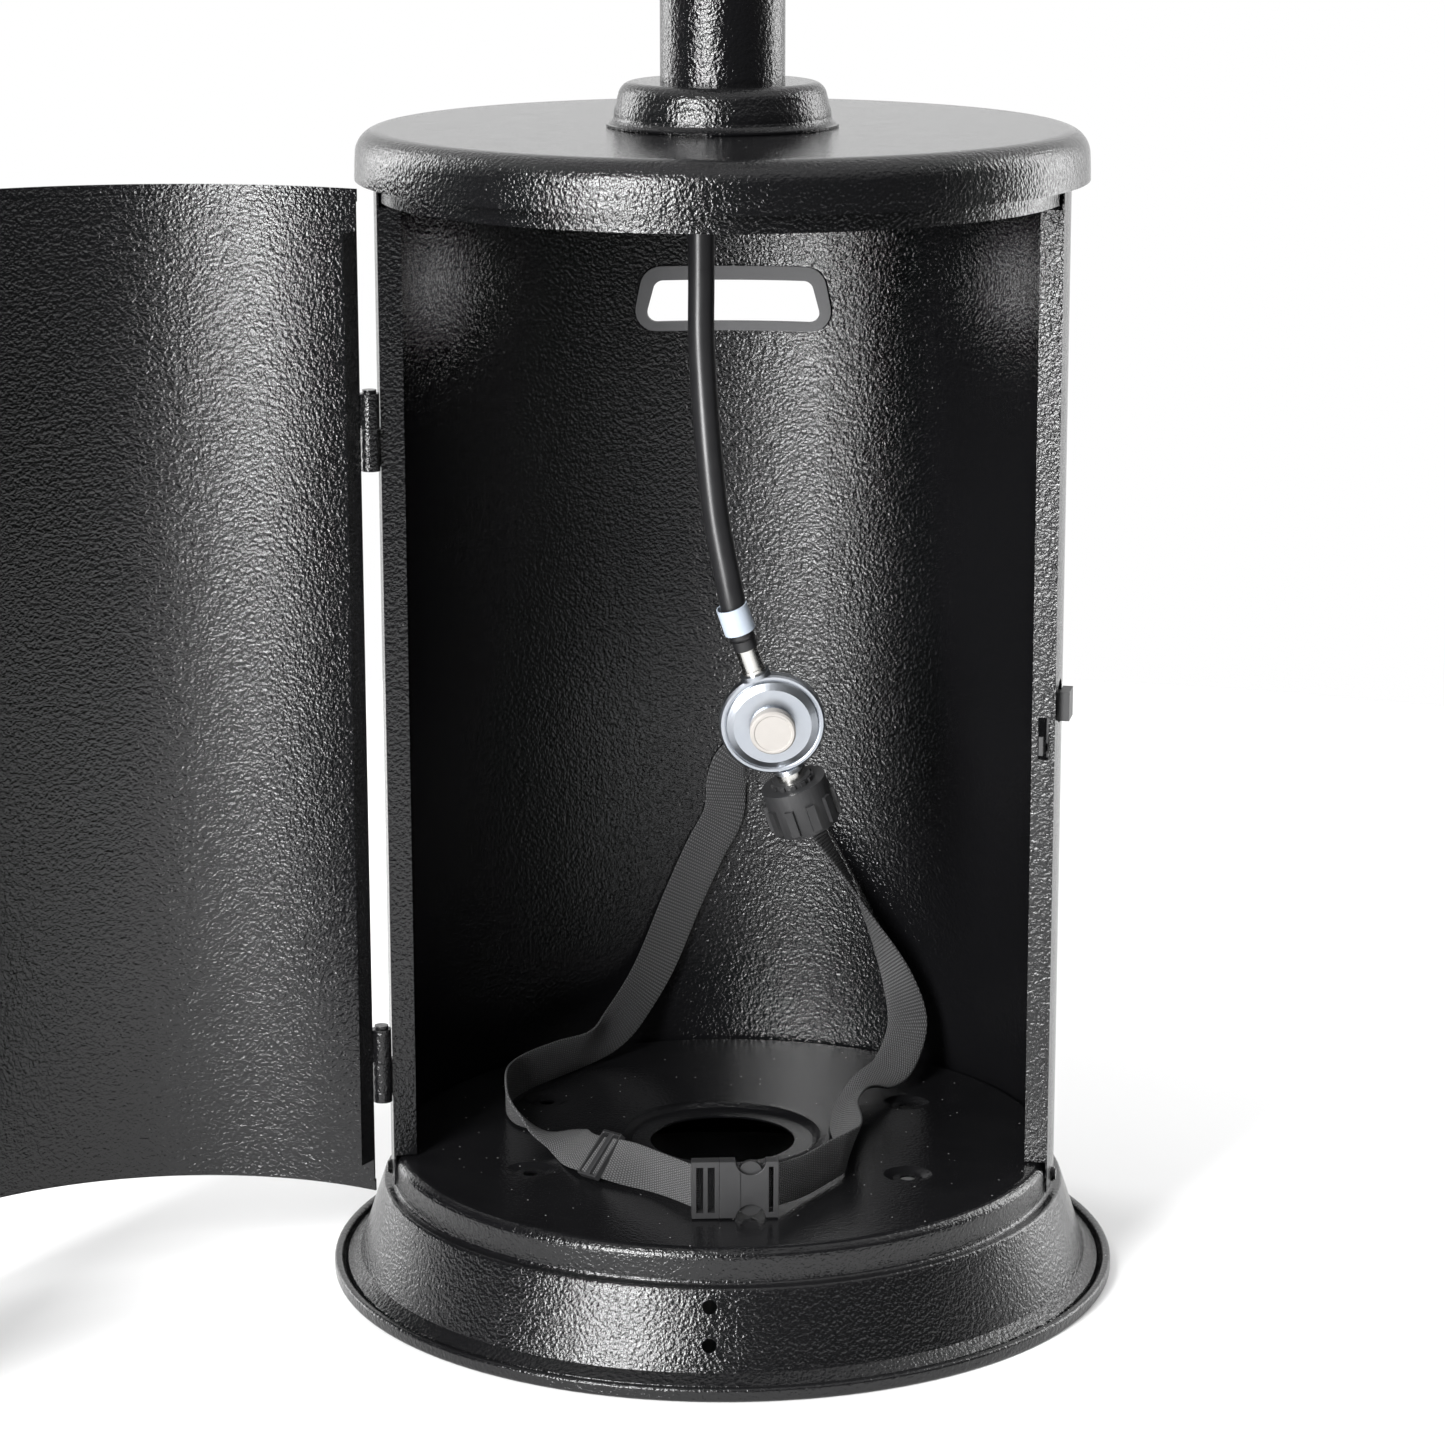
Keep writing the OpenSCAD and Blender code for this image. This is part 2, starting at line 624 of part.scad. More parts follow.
module hose_label() color([0.8, 0.84, 0.88]) regulator_frame() translate([0, 0, hang + 5]) difference() {
    cylinder(r = hose_r + 1.6, h = 16, $fn = 48);
    translate([0, 0, -1]) cylinder(r = hose_r + 0.9, h = 18, $fn = 48);
}

module hose_crimp() color(BLACK_COAT) regulator_frame() translate([0, 0, hang - crimp_h])
    cylinder(r = 7, h = crimp_h, $fn = 48);

module hose_ferrule() color(STEEL) regulator_frame() translate([0, 0, lid_gap]) {
    cylinder(r = 6.5, h = ferrule_h, $fn = 48);
    translate([0, 0, 1]) cylinder(r = 7.1, h = 1.6, $fn = 48);
}

body_depth = 19;
neck_h = 10;
nut_top = -39.5;
nut_h = 28;
nut_cap = 5.4;

module regulator_body() color(ZINC) regulator_frame() difference() {
    union() {
        rotate([-90, 0, 0]) turned([
            [0, body_depth], [17, body_depth], [22, body_depth - 3], [24, 8], [29.2, 4], [29.2, 0.2], [0, 0.2]
        ]);
        // hose boss above and inlet boss below, behind the rim of the lid
        difference() {
            union() {
                translate([0, 5, 0]) cylinder(r = 8, h = lid_gap - 1, $fn = 48);
                translate([0, 0, lid_gap - 6]) cylinder(r = 8.6, h = 6, $fn = 48);
                translate([0, 5, -lid_gap + 1]) cylinder(r = 9.5, h = 30, $fn = 48);
            }
            rotate([-90, 0, 0]) translate([0, 0, -12]) cylinder(r = lid_r + 0.1, h = 15.3, $fn = 180);
        }
    }
    // diaphragm chamber
    rotate([-90, 0, 0]) translate([0, 0, -1]) cylinder(r = 20, h = 12, $fn = 96);
}

module regulator_lid() color(ZINC) regulator_frame() rotate([90, 0, 0]) turned([
    [9, 0], [9, neck_h], [12.6, neck_h], [13, 6.8], [22.5, 6.8], [26.4, 4.6], [27.2, 3.6], [28, 3.9],
    [29.5, 3.9], [lid_r, 2.9], [lid_r, -2.6], [29.6, -3.2], [29.4, -3.2], [29.4, -0.2], [26, 0.2],
    [24.5, 3], [22, 5.2], [14, 5.2], [14, 0]
]);

module regulator_cap() color([0.78, 0.76, 0.73]) regulator_frame() rotate([90, 0, 0])
    translate([0, 0, neck_h]) turned([[0, 0], [13.2, 0], [13.2, 6.2], [12.2, 7.4], [11, 7.4], [10.4, 6.9], [0, 6.9]]);

module regulator_diaphragm() color(RUBBER) regulator_frame() rotate([90, 0, 0])
    turned([[0, -1.6], [15, -1.6], [17, -3], [19.6, -1.4], [19.6, -0.2], [17, -1.6], [15, -0.4], [0, -0.4]]);

// Adjusting spring: a helix of round wire between the diaphragm and the lid
spring_turns = 2.5;
module regulator_spring() color(STEEL) regulator_frame() rotate([90, 0, 0]) {
    steps = 50;
    line = [
        for (i = [0:steps])
            let (a = 360 * spring_turns * i / steps)
            [5.5 * cos(a), 5.5 * sin(a), 0.7 + 7 * i / steps]
    ];
    loft([for (i = [0:steps]) let (f = tangent(line, i), u = unit([line[i].x, line[i].y, 0]), v = cross(f, u))
        [for (k = [0:7]) line[i] + 0.6 * (cos(45 * k) * v + sin(45 * k) * u)]]);
}

module inlet_stem() color(BRASS) regulator_frame() {
    translate([0, 0, nut_top - 6.5]) cylinder(r = 8, h = 14, $fn = 48);
    // flange that the nut's cap pulls on
    translate([0, 0, nut_top - 9.1]) cylinder(r = 11, h = 3.3, $fn = 48);
    translate([0, 0, nut_top - 26.5]) cylinder(r = 6.2, h = 18, $fn = 48);
    translate([0, 0, nut_top - 30.5]) cylinder(r = 4.4, h = 5, $fn = 48);
}

module coupling_nut() color(BLACK_PLASTIC) regulator_frame() difference() {
    union() {
        translate([0, 0, nut_top - nut_h]) cylinder(r = nut_r - 2.2, h = nut_h, $fn = 96);
        // toothed collar
        translate([0, 0, nut_top]) cylinder(r = 11.6, h = 3, $fn = 96);
        for (a = [0:30:359]) rotate([0, 0, a]) translate([10.5, -1.5, nut_top]) cube([2.4, 3, 2.6]);
        // grip ribs
        for (a = [0:36:359]) rotate([0, 0, a]) translate([nut_r - 4, -2.5, nut_top - nut_h + 2.5])
            cube([4, 5, nut_h - 12]);
    }
    translate([0, 0, nut_top - nut_h - 1]) cylinder(r = 16.5, h = nut_h - nut_cap + 1, $fn = 96);
    translate([0, 0, nut_top - 7]) cylinder(r = 8.06, h = 12, $fn = 96);
}

// ---- Burner head ----

module housing_floor() color(BLACK_COAT) difference() {
    union() {
        tube(drum_r - 1.1, 31, post_top, head_z);
        tube(post_r + 2, post_r + 0.05, post_top - 30, post_top);
        tube(drum_r - 1.1, drum_r - 2.6, head_z, head_z + 12);
    }
    for (a = [60:120:300]) radial(a, post_top - 15, 30, 45, 2.6);
    for (a = [60:120:300]) radial(a, head_z + 7, drum_r - 6, drum_r + 3, 2.1);
}

module head_screws() color(STEEL) for (a = [60:120:300]) {
    radial(a, post_top - 15, post_r, post_r + 2.5, 2.5, 32);
    at(a) translate([0, -post_r - 2, post_top - 15]) rotate([90, 0, 0]) pan_head(4.6, 2.6);
    radial(a, head_z + 7, drum_r - 7, drum_r + 0.5, 2, 32);
    at(a) translate([0, -drum_r, head_z + 7]) rotate([90, 0, 0]) pan_head(3.6, 2);
}

module control_housing() color(BLACK_COAT) difference() {
    turned([
        [drum_r, head_z], [drum_r, drum_top - 4], [drum_r - 1.2, drum_top - 1.2], [drum_r - 4, drum_top],
        [60, drum_top], [60, drum_top - 1], [drum_r - 4, drum_top - 1], [drum_r - 1.8, drum_top - 2],
        [drum_r - 1, drum_top - 4], [drum_r - 1, head_z]
    ]);
    radial(0, valve_z, 60, 90, 9);
    at(igniter_bearing) translate([0, -60, valve_z]) rotate([90, 0, 0]) cylinder(r = 9, h = 30);
    for (a = [60:120:300]) radial(a, head_z + 7, drum_r - 6, drum_r + 3, 2.1);
    // cooling slots round the back
    for (a = [120:12:240], z = [20, 60]) at(a) translate([-2, -drum_r - 2, head_z + z]) cube([4, 6, 26]);
}

module gas_valve() color(BRASS) difference() {
    union() {
        translate([0, 0, 1632]) cylinder(r = 9.5, h = 10, $fn = 48);
        translate([0, 0, 1640]) cylinder(r = 15, h = 24, $fn = 96);
        translate([0, 0, 1664]) cylinder(r = 8, h = 12, $fn = 48);
        translate([0, -14, valve_z]) rotate([90, 0, 0]) cylinder(r = 11, h = drum_r - 16, $fn = 96);
        translate([10, 0, 1648]) rotate([0, 90, 0]) cylinder(r = 5, h = 14, $fn = 48);
    }
    // bore of the plunger and stem
    translate([0, -1, valve_z]) rotate([90, 0, 0]) cylinder(r = 5.05, h = drum_r, $fn = 96);
}

// The plunger slides in and out with the knob but doesn't turn
module valve_plunger() color(BRASS) translate([0, -8, valve_z]) rotate([90, 0, 0]) {
    cylinder(r = 5, h = 22, $fn = 96);
}

module valve_stem() color(BRASS) translate([0, -30.3, valve_z]) rotate([90, 0, 0]) {
    cylinder(r = 5, h = 24, $fn = 96);
    cylinder(r = 3.5, h = knob_y - 30.3 + 6, $fn = 96);
}

knob_r = 21;
module control_knob() color(BLACK_PLASTIC) translate([0, -knob_y, valve_z]) rotate([90, 0, 0]) difference() {
    union() {
        cylinder(r = knob_r, h = 5, $fn = 96);
        translate([0, 0, 5]) cylinder(r = knob_r - 2.5, h = 3, $fn = 96);
        translate([-4.5, -knob_r + 3, 5]) cube([9, 2 * knob_r - 6, 17]);
    }
    translate([0, 0, -1]) cylinder(r = 3.5, h = 7.3, $fn = 96);
}

module igniter_body() color(BLACK_PLASTIC)
at(igniter_bearing) translate([0, 0, valve_z]) rotate([90, 0, 0]) difference() {
    union() {
        translate([0, 0, 40]) cylinder(r = 8.8, h = drum_r - 40 + 1.4, $fn = 96);
        translate([0, 0, drum_r + 0.2]) cylinder(r = 12, h = 2.4, $fn = 96);
        translate([0, 0, drum_r - 5.2]) cylinder(r = 11.5, h = 3.6, $fn = 6);
    }
    translate([0, 0, 52]) cylinder(r = 6.6, h = 40, $fn = 96);
}

module igniter_button() color([0.55, 0.08, 0.06])
at(igniter_bearing) translate([0, 0, valve_z]) rotate([90, 0, 0]) {
    translate([0, 0, 60]) cylinder(r = 6.5, h = drum_r - 60 + 8, $fn = 96);
    translate([0, 0, drum_r + 8]) cylinder(r = 5.6, h = 1, $fn = 96);
}

module tilt_switch() color(BLACK_PLASTIC) translate([-34, 18, head_z]) {
    cylinder(r = 13, h = 26, $fn = 96);
    translate([0, 0, 26]) cylinder(r = 9, h = 5, $fn = 96);
}

module gas_orifice() color(BRASS) translate([0, 0, 1676]) {
    cylinder(r = 8.5, h = 7, $fn = 6);
    translate([0, 0, 7]) cylinder(r = 4, h = 6, $fn = 48);
}

module mixer_tube() color(STEEL) difference() {
    turned([
        [12, 1684], [12, 1694], [10, 1700], [10, burner_z], [8.8, burner_z], [8.8, 1700],
        [10.8, 1693.5], [10.8, 1685.2], [4, 1685.2], [4, 1684]
    ]);
    for (a = [0:90:270]) radial(a + 45, 1690, 5, 15, 3);
}

burner_rows = [16, 26, 36];
module burner_cup() color(STEEL) difference() {
    turned([
        [8.8, burner_z], [26, burner_z], [43, burner_z + 14], [43, burner_z + 30], [46, burner_z + 30],
        [46, burner_z + 31], [42, burner_z + 31], [42, burner_z + 24], [0, burner_z + 28], [0, burner_z + 27],
        [42, burner_z + 23], [42, burner_z + 14.6], [25.6, burner_z + 1], [8.8, burner_z + 1]
    ]);
    // flame ports in the lid
    for (row = [0:2], a = [0:30:359]) rotate([0, 0, a + 10 * row]) translate([burner_rows[row], 0, burner_z + 20])
        cylinder(r = 1.5, h = 12, $fn = 16);
}

module pilot_tube() color(STEEL) loft([for (p = [0:12])
    let (line = smooth([[24, 0, 1648], [34, 0, 1649], [44, -6, 1662], [50, -14, 1682], [52, -16, 1706], [52, -16, 1722]], 3),
         i = round(p * (len(line) - 1) / 12), f = tangent(line, i), u = unit(cross([0, 1, 0], f)), v = cross(f, u))
    [for (k = [0:7]) line[i] + 2.4 * (cos(45 * k) * u + sin(45 * k) * v)]]);

// ---- Emitter and reflector ----

module pilot_hood() color(STEEL) translate([52, -16, 1722]) difference() {
    cylinder(r = 5, h = 22, $fn = 48);
    translate([0, 0, 2]) cylinder(r = 4.2, h = 30, $fn = 48);
    translate([-6, -2.5, 10]) cube([6, 5, 8]);
}

// Plate under the housing's top that carries the pilot tube, thermocouple and electrode
module pilot_bracket() color(STEEL) difference() {
    translate([40, -37, drum_top - 2.4]) cube([21, 49, 1.3]);
    translate([52, -16, drum_top - 5]) cylinder(r = 2.6, h = 6, $fn = 48);
    translate([42, -32, drum_top - 5]) cylinder(r = 2.2, h = 6, $fn = 32);
    translate([53, 4, drum_top - 5]) cylinder(r = 3, h = 6, $fn = 32);
}

module thermocouple() color(BRASS) translate([42, -32, drum_top - 20]) {
    cylinder(r = 2.2, h = 50, $fn = 32);
    translate([0, 0, 50]) cylinder(r = 1.6, h = 14, $fn = 32);
}

module electrode() color([0.9, 0.9, 0.88]) translate([53, 4, drum_top - 20]) {
    cylinder(r = 3, h = 40, $fn = 32);
    translate([0, 0, 40]) cylinder(r = 1, h = 16, $fn = 32);
}

module emitter_screen() color(STEEL) turned(skin([
    [61, screen_z], [screen_r[0] - 2, screen_z], [screen_r[0], screen_z + 2], [screen_r[0], screen_z + 12],
    [screen_r[1], cap_z - 14], [screen_r[1], cap_z]
], -0.8));

module heat_cap() color(STEEL) difference() {
    turned(skin(concat(
        [[screen_r[1] + 1.2, cap_z - 10]],
        arc([screen_r[1] - 8.8, cap_z + 4], 10, 0, 78, 6),
        [[30, cap_z + 30], [0, cap_z + 30]]
    ), -1));
    for (a = [0:120:240]) at(a) translate([0, -stud_pcd_r, cap_z]) cylinder(r = 3.1, h = 60, $fn = 32);
}

stud_z = cap_z + 13;
module reflector_studs() color(STEEL) for (a = [0:120:240]) at(a) translate([0, -stud_pcd_r, 0]) {
    translate([0, 0, stud_z]) cylinder(r = 3, h = crown_z - stud_z + 22, $fn = 32);
    // nut under the cap and sleeve under the reflector
    translate([0, 0, stud_z]) cylinder(r = 5.8, h = 5, $fn = 6);
    translate([0, 0, cap_z + 24]) cylinder(r = 5, h = crown_z - 1.2 - cap_z - 24, $fn = 32);
}

module reflector() color([0.78, 0.78, 0.79]) difference() {
    turned(concat(
        [[0, crown_z], [92, crown_z], [100, crown_z - 1.5]],
        [for (i = [0:10]) let (r = 110 + (reflector_r - 118) * i / 10, s = (r - 100) / (reflector_r - 108))
            [r, crown_z - 4 - (reflector_rise - 12) * pow(s, 1.25)]],
        [[reflector_r - 3, reflector_z + 7], [reflector_r, reflector_z + 4], [reflector_r, reflector_z + 1], [reflector_r - 2, reflector_z],
         [reflector_r - 4, reflector_z + 1], [reflector_r - 4.4, reflector_z + 4.5]],
        [for (i = [10:-1:0]) let (r = 110 + (reflector_r - 118) * i / 10, s = (r - 100) / (reflector_r - 108))
            [r, crown_z - 5.2 - (reflector_rise - 12) * pow(s, 1.25)]],
        [[100, crown_z - 2.7], [92, crown_z - 1.2], [0, crown_z - 1.2]]
    ));
    for (a = [0:120:240]) at(a) translate([0, -stud_pcd_r, crown_z - 10]) cylinder(r = 3.1, h = 20, $fn = 32);
}

module reflector_washers() color(STEEL)
for (a = [0:120:240]) at(a) translate([0, -stud_pcd_r, crown_z]) difference() {
    cylinder(r = 9, h = 1.5, $fn = 48);
    translate([0, 0, -1]) cylinder(r = 3.1, h = 4, $fn = 32);
}

module wing_nuts() color(STEEL)
for (a = [0:120:240]) at(a) translate([0, -stud_pcd_r, crown_z + 1.5]) difference() {
    union() {
        cylinder(r = 6, h = 7, $fn = 48);
        for (s = [-1, 1]) translate([s * 9 - 5, -1.2, 2]) cube([10, 2.4, 13]);
    }
    translate([0, 0, -1]) cylinder(r = 3, h = 20, $fn = 32);
}

base_shell();
barrel();
barrel_screws();
hand_hole_trim();
top_ring();
ring_screws();
top_cover();
post_foot();
foot_bolts();
foot_nuts();
post_bell();
post();
door();
door_hinge_halves();
barrel_hinge_halves();
hinge_pins();
latch_slider();
latch_guide();
belt_bracket();
belt();
belt_slider();
buckle_male();
buckle_female();
hose();
hose_nut();
hose_label();
hose_crimp();
hose_ferrule();
regulator_body();
regulator_lid();
regulator_cap();
regulator_diaphragm();
regulator_spring();
inlet_stem();
coupling_nut();
housing_floor();
head_screws();
control_housing();
gas_valve();
valve_plunger();
valve_stem();
control_knob();
igniter_body();
igniter_button();
tilt_switch();
gas_orifice();
mixer_tube();
burner_cup();
pilot_tube();
pilot_hood();
pilot_bracket();
thermocouple();
electrode();
emitter_screen();
heat_cap();
reflector_studs();
reflector();
reflector_washers();
wing_nuts();
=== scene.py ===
# %% [markdown]
# A gas patio heater stands on a round pressed base. Its cylindrical housing has one hinged door and holds a
# gas cylinder. A hose comes down inside the post and ends in a regulator. The metalwork is exact CAD and is
# loaded as it is. This script adds the camera, the light, the finishes, the webbing belt and the hose.

import json
import math

import bpy
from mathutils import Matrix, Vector


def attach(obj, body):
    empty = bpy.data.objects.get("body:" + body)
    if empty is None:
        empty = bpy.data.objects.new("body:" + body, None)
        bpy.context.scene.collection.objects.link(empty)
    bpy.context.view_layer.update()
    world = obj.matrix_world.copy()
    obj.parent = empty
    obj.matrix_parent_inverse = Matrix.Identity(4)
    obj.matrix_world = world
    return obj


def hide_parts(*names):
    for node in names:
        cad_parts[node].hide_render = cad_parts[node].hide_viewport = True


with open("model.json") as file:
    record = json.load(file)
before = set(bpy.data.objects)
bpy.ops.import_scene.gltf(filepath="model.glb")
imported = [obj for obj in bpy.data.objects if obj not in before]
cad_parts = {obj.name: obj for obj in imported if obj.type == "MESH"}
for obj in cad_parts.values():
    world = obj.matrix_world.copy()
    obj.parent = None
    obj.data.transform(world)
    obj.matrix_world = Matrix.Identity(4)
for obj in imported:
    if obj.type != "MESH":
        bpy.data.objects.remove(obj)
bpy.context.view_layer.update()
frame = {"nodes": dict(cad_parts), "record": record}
scene = bpy.context.scene
MM = 0.001
print("nodes loaded:", len(frame["nodes"]))

# %% [markdown]
# A product camera uses a long lens from a few metres away, so that round things stay round at the edges of
# the frame. It stands at chest height and looks slightly down. A camera could be aimed with a Track To
# constraint; turning its axis onto a direction by a quaternion does the same and leaves nothing to solve.

# %% Camera
CAMERA_AT = Vector((0.0824, -2.359, 0.8788))
CAMERA_LOOKS = Vector((-0.034, 0.973, -0.2282))
LENS = 104.45
SENSOR = 36

camera = bpy.data.objects.new("camera", bpy.data.cameras.new("camera"))
scene.collection.objects.link(camera)
camera.location = CAMERA_AT
camera.rotation_euler = CAMERA_LOOKS.to_track_quat("-Z", "Y").to_euler()
camera.data.lens = LENS
camera.data.sensor_width = SENSOR
camera.data.clip_end = 60
scene.camera = camera
pitch = math.degrees(math.asin(-CAMERA_LOOKS.z / CAMERA_LOOKS.length))
print("camera looks down by", round(pitch, 1), "degrees")

# %% [markdown]
# Hoses and straps follow a few given points. A Catmull-Rom curve goes through every point and leaves
# it in the direction of its neighbours, so it needs no handles. A Bezier curve would do as well, but its
# handles would have to be tuned one by one.

# %% Smooth lines
def between(a, b, c, d, t):
    """A place on the curve from b to c, where t runs from 0 to 1."""
    square = (2 * a - 5 * b + 4 * c - d) * t ** 2
    cube = (3 * b - a - 3 * c + d) * t ** 3
    return 0.5 * (2 * b + (c - a) * t + square + cube)


def smooth(points, steps):
    last = len(points) - 1
    line = []
    for i in range(last):
        four = [points[max(i - 1, 0)], points[i], points[i + 1], points[min(i + 2, last)]]
        line += [between(*four, k / steps) for k in range(steps)]
    return line + [points[last]]


def line_length(line):
    return sum((b - a).length for a, b in zip(line, line[1:]))


print("a line through points set by hand:", len(smooth([Vector((i, 0, 0)) for i in range(4)], 6)), "places")

# %% [markdown]
# A hose and a strap are both one outline carried along a line. At each ring the outline stands square to
# the line, and a direction says which way its width lies. A curve object with a bevel would do for the
# hose, but a mesh lets both share one helper, and the rings carry the map for the strap's weave.

# %% Sweep an outline
def sweep(name, places, widths, section):
    """A closed mesh: the outline `section` at every place, its x axis along that place's width."""
    n = len(section)
    last = len(places) - 1
    verts = []
    for i, place in enumerate(places):
        along = (places[min(i + 1, last)] - places[max(i - 1, 0)]).normalized()
        across = (widths[i] - along * widths[i].dot(along)).normalized()
        out = along.cross(across)
        verts += [place + across * x + out * y for x, y in section]
    faces = []
    for i in range(last):
        for k in range(n):
            a, b = i * n + k, i * n + (k + 1) % n
            faces.append((a, b, b + n, a + n))
    faces += [tuple(reversed(range(n))), tuple(range(last * n, last * n + n))]
    mesh = bpy.data.meshes.new(name)
    mesh.from_pydata(verts, [], faces)
    mesh.shade_smooth()
    run = [0]
    for a, b in zip(places, places[1:]):
        run.append(run[-1] + (b - a).length)
    chart = mesh.uv_layers.new(name="weave")
    for loop in mesh.loops:
        ring, k = divmod(loop.vertex_index, n)
        chart.data[loop.index].uv = (section[k][0], run[ring])
    made = bpy.data.objects.new(name, mesh)
    scene.collection.objects.link(made)
    print(name, "is", round(run[-1], 3), "m long")
    return made


print("sweep ready: one outline along one line")

# %% [markdown]
# The gas hose is a stiff rubber tube, 15 mm across. It is clamped to the valve, drops through the hollow
# post and leaves it under the cover, where the regulator's weight draws it into a gentle S.

# %% Gas hose
HOSE_R = 7.5 * MM
HOSE_ROUTE = [
    (0, 0, 1618), (0, 0, 1590), (-2, 0, 1540), (-6, 1, 1450), (-10, 2, 1350), (-12, 3, 1250),
    (-12, 3, 1150), (-11, 2, 1050), (-11, 1, 950), (-12, 0, 850), (-12, 0, 750), (-12, 0, 670),
    (-12, 0, 620), (-12, 0, 580), (-12, -1, 550), (-10, -3, 515), (-7, -7, 480), (-3, -10, 446),
    (3, -13, 415), (7, -14, 396), (12, -12, 378),
]
hose_line = smooth([Vector(p) * MM for p in HOSE_ROUTE], 6)
hose_turns = [math.tau * k / 32 for k in range(32)]
hose_section = [(HOSE_R * math.cos(turn), HOSE_R * math.sin(turn)) for turn in hose_turns]
gas_hose = sweep("gas_hose", hose_line, [Vector((1, 0, 0))] * len(hose_line), hose_section)
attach(gas_hose, "stand")
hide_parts("hose")
hose_length = line_length(hose_line)

# %% [markdown]
# The tank belt is flat woven webbing. It lies on its edge on the deck, turns over in two places and rises
# to a staple on the rear wall. Each station gives a place and the direction in which the webbing's width lies.
# A strip swept through them keeps its true width; a cloth simulation would lose the way that it was laid.

# %% Tank belt
BELT_W = 25 * MM
BELT_T = 1.6 * MM
BELT_STATIONS = [
    ((30, -139.5, 92), (0, 0, 1)), ((49, -112, 89), (0, 0, 1)), ((65, -84, 89), (0, 0, 1)),
    ((73, -70, 89), (0.1, 0, 1)), ((77, -52, 88), (0.35, 0, 0.94)), ((76, -30, 87), (0.5, 0, 0.86)),
    ((72, 4, 86), (0.65, 0, 0.75)), ((75, 40, 85), (0.65, -0.3, 0.5)),
    ((81, 60, 84.5), (0.6, -0.5, 0.25)), ((90, 78, 84.5), (0.7, -0.6, -0.2)),
    ((100, 95, 86.5), (0.8, -0.6, -0.35)), ((107, 114, 95), (0.88, -0.42, -0.3)),
    ((110, 127, 107), (0.93, -0.35, -0.1)), ((106, 137, 124), (0.8, -0.6, 0)),
    ((97, 147, 144), (0.6, -0.8, 0)), ((83, 157, 169), (0.25, -0.95, 0)),
    ((69, 165, 193), (-0.05, -1, 0)), ((54, 170, 215), (-0.25, -0.95, -0.1)),
    ((40, 176.5, 236), (-0.6, -0.6, -0.5)), ((28, 184, 252), (-0.4, -0.3, -0.85)),
    ((12, 190, 262), (0, 0, -1)), ((1, 190, 256), (0.6, 0, -0.8)), ((-4, 190, 243), (1, 0, -0.1)),
    ((-6, 190, 222), (1, 0, -0.15)), ((-18, 189, 198), (1, 0, -0.35)), ((-33, 187, 164), (1, 0.1, -0.4)),
    ((-47, 181, 130), (1, 0.2, -0.4)), ((-59, 170, 109), (0.85, 0.4, -0.4)),
    ((-72, 148, 95), (0.65, 0.65, -0.3)), ((-87, 124, 88.5), (0.3, 0.7, -0.6)),
    ((-107, 96, 89), (0.1, 0.3, -0.95)), ((-125, 67, 89), (0, 0.1, -1)), ((-131, 38, 89), (0, 0.1, -1)),
    ((-124, 5, 87.5), (0, 0.75, -0.65)), ((-107, -16, 82), (0, 0.97, -0.25)),
    ((-90, -33, 82), (0.2, 0.95, 0.2)), ((-81, -56, 84), (0.35, 0.75, 0.5)),
    ((-67, -76, 87), (0.45, 0.55, 0.7)), ((-36, -107, 89.5), (0, 0.1, 1)), ((-9, -142, 92), (0, 0, 1)),
]


def belt_section(width, thick):
    """The outline of the webbing, with its two woven edges rounded."""
    r = thick / 2
    turns = (-math.pi / 2, -0.8, 0, 0.8, math.pi / 2)
    half = [(width / 2 - r + r * math.cos(a), r * math.sin(a)) for a in turns]
    half += [(width * share, r) for share in (0.25, 0, -0.25)]
    return half + [(-x, -y) for x, y in half]


belt_places = smooth([Vector(p) * MM for p, w in BELT_STATIONS], 6)
belt_widths = smooth([Vector(w) for p, w in BELT_STATIONS], 6)
tank_belt = sweep("tank_belt", belt_places, belt_widths, belt_section(BELT_W, BELT_T))
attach(tank_belt, "stand")
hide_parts("belt")

# %% [markdown]
# A finish is a graph of shader nodes. Written out node by node, its arithmetic is hard to read, so one
# small class wraps a socket and lets Python's operators add the Math nodes.

# %% Shader arithmetic
class Value:
    """A shader socket that can be added, multiplied and compared."""

    def __init__(self, finish, socket):
        self.finish = finish
        self.socket = socket

    def math(self, operation, *numbers):
        return self.finish.node("Math", {"operation": operation}, dict(enumerate(numbers)))

    def __add__(self, other):
        return self.math("ADD", self, other)

    def __radd__(self, other):
        return self.math("ADD", other, self)

    def __sub__(self, other):
        return self.math("SUBTRACT", self, other)

    def __rsub__(self, other):
        return self.math("SUBTRACT", other, self)

    def __mul__(self, other):
        return self.math("MULTIPLY", self, other)

    def __rmul__(self, other):
        return self.math("MULTIPLY", other, self)

    def __gt__(self, other):
        return self.math("GREATER_THAN", self, other)

    def __lt__(self, other):
        return self.math("LESS_THAN", self, other)

    def sine(self):
        return self.math("SINE", self)

    def fraction(self):
        return self.math("FRACT", self)


class Graph:
    """A node tree and a short way to add nodes to it."""

    def __init__(self, tree):
        self.tree = tree

    def node(self, kind, settings, sockets, out=0):
        made = self.tree.nodes.new("ShaderNode" + kind)
        for name, value in settings.items():
            setattr(made, name, value)
        for name, value in sockets.items():
            if isinstance(value, Value):
                self.tree.links.new(value.socket, made.inputs[name])
            else:
                made.inputs[name].default_value = value
        return Value(self, made.outputs[out])

    def part(self, vector, axis):
        return self.node("SeparateXYZ", {}, {0: vector}, axis)

    def ramp(self, value, low, high):
        """0 below low, 1 above high and a soft step between."""
        settings = {"interpolation_type": "SMOOTHSTEP"}
        return self.node("MapRange", settings, {"Value": value, "From Min": low, "From Max": high})


